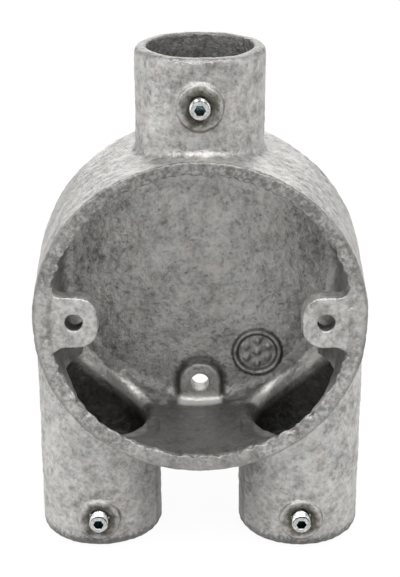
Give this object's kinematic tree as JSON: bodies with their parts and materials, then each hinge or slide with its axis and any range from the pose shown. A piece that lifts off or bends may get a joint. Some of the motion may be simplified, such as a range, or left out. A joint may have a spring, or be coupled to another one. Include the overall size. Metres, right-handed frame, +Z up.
{
  "type": "conduit body",
  "caption": "Round malleable-iron conduit box with one spout up and two parallel spouts down, each with a grub screw, and an open front with two lugs for a cover.",
  "frame": {"origin": "centre of the box across its width and depth, level with the ends of the two lower spouts", "axes": "+Z up along the spouts, the open front faces -Y, +X to the right seen from the front"},
  "size_m": [0.0697, 0.0304, 0.1073],
  "materials": {
    "galvanised_iron": "rough cast, hot-dip galvanised, mottled light grey",
    "zinc_plated_steel": "bright zinc plate"
  },
  "bodies": {
    "box": {"box_casting": "galvanised_iron"},
    "screw_top": {"set_screw_top": "zinc_plated_steel"},
    "screw_lower_left": {"set_screw_lower_left": "zinc_plated_steel"},
    "screw_lower_right": {"set_screw_lower_right": "zinc_plated_steel"}
  },
  "joints": [
    {"name": "screw_top_travel", "type": "slide", "parent": "box", "child": "screw_top", "axis": [0, 1, 0], "range_m": [-0.0015, 0.0011]},
    {"name": "screw_lower_left_travel", "type": "slide", "parent": "box", "child": "screw_lower_left", "axis": [0, 1, 0], "range_m": [-0.0015, 0.0011]},
    {"name": "screw_lower_right_travel", "type": "slide", "parent": "box", "child": "screw_lower_right", "axis": [0, 1, 0], "range_m": [-0.0015, 0.0011]}
  ]
}
